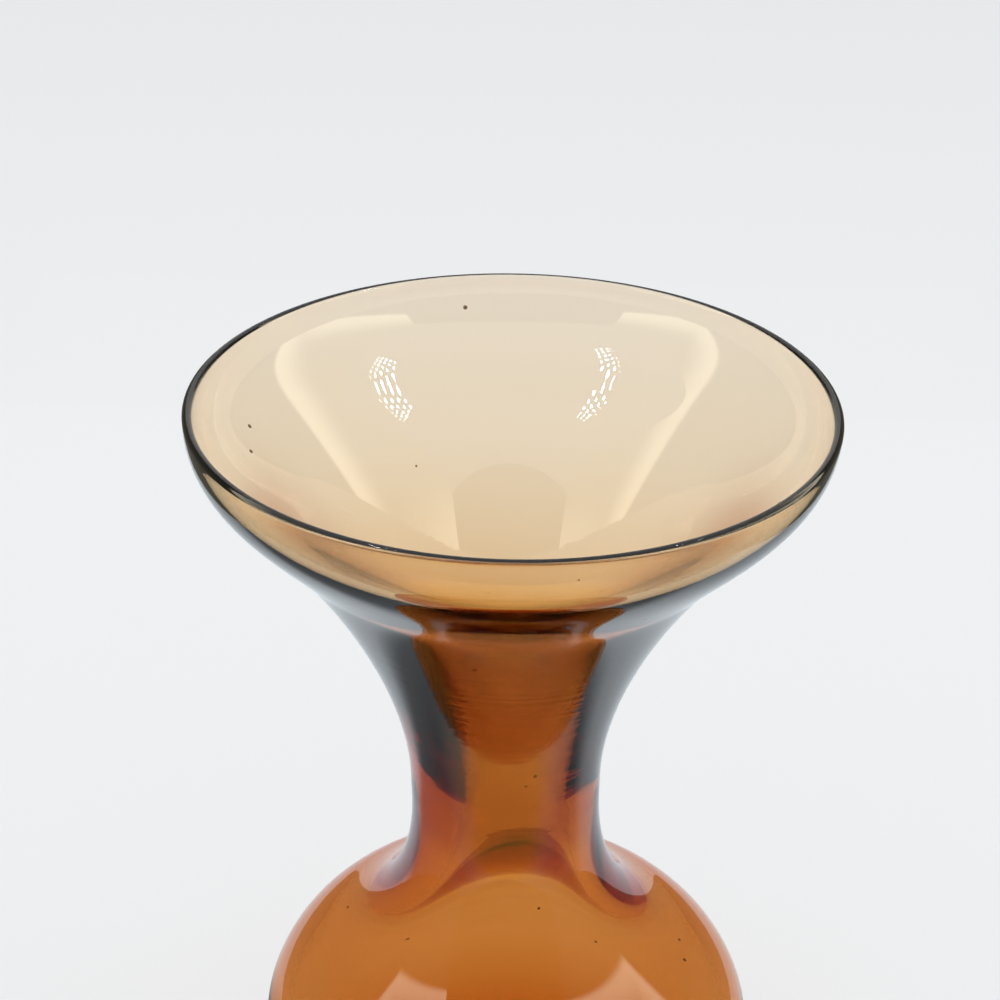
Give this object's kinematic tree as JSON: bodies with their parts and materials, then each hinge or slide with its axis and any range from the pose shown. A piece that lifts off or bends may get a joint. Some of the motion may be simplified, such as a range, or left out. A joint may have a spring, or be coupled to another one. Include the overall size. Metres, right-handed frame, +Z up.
{
  "type": "glass vase",
  "caption": "Blown glass vase with a wide flared mouth, a narrow waisted neck and a round body on a flat ring foot, for holding a flower stem or small bunch in water.",
  "frame": {"origin": "centre of the foot, on the surface that the vase stands on", "axes": "+Z up, along the axis of the vase, out of its mouth"},
  "size_m": [0.096, 0.096, 0.157],
  "materials": {
    "amber_glass": "fire-polished transparent amber glass, smooth on both faces"
  },
  "bodies": {
    "root": {"vase_body": "amber_glass"}
  },
  "joints": []
}
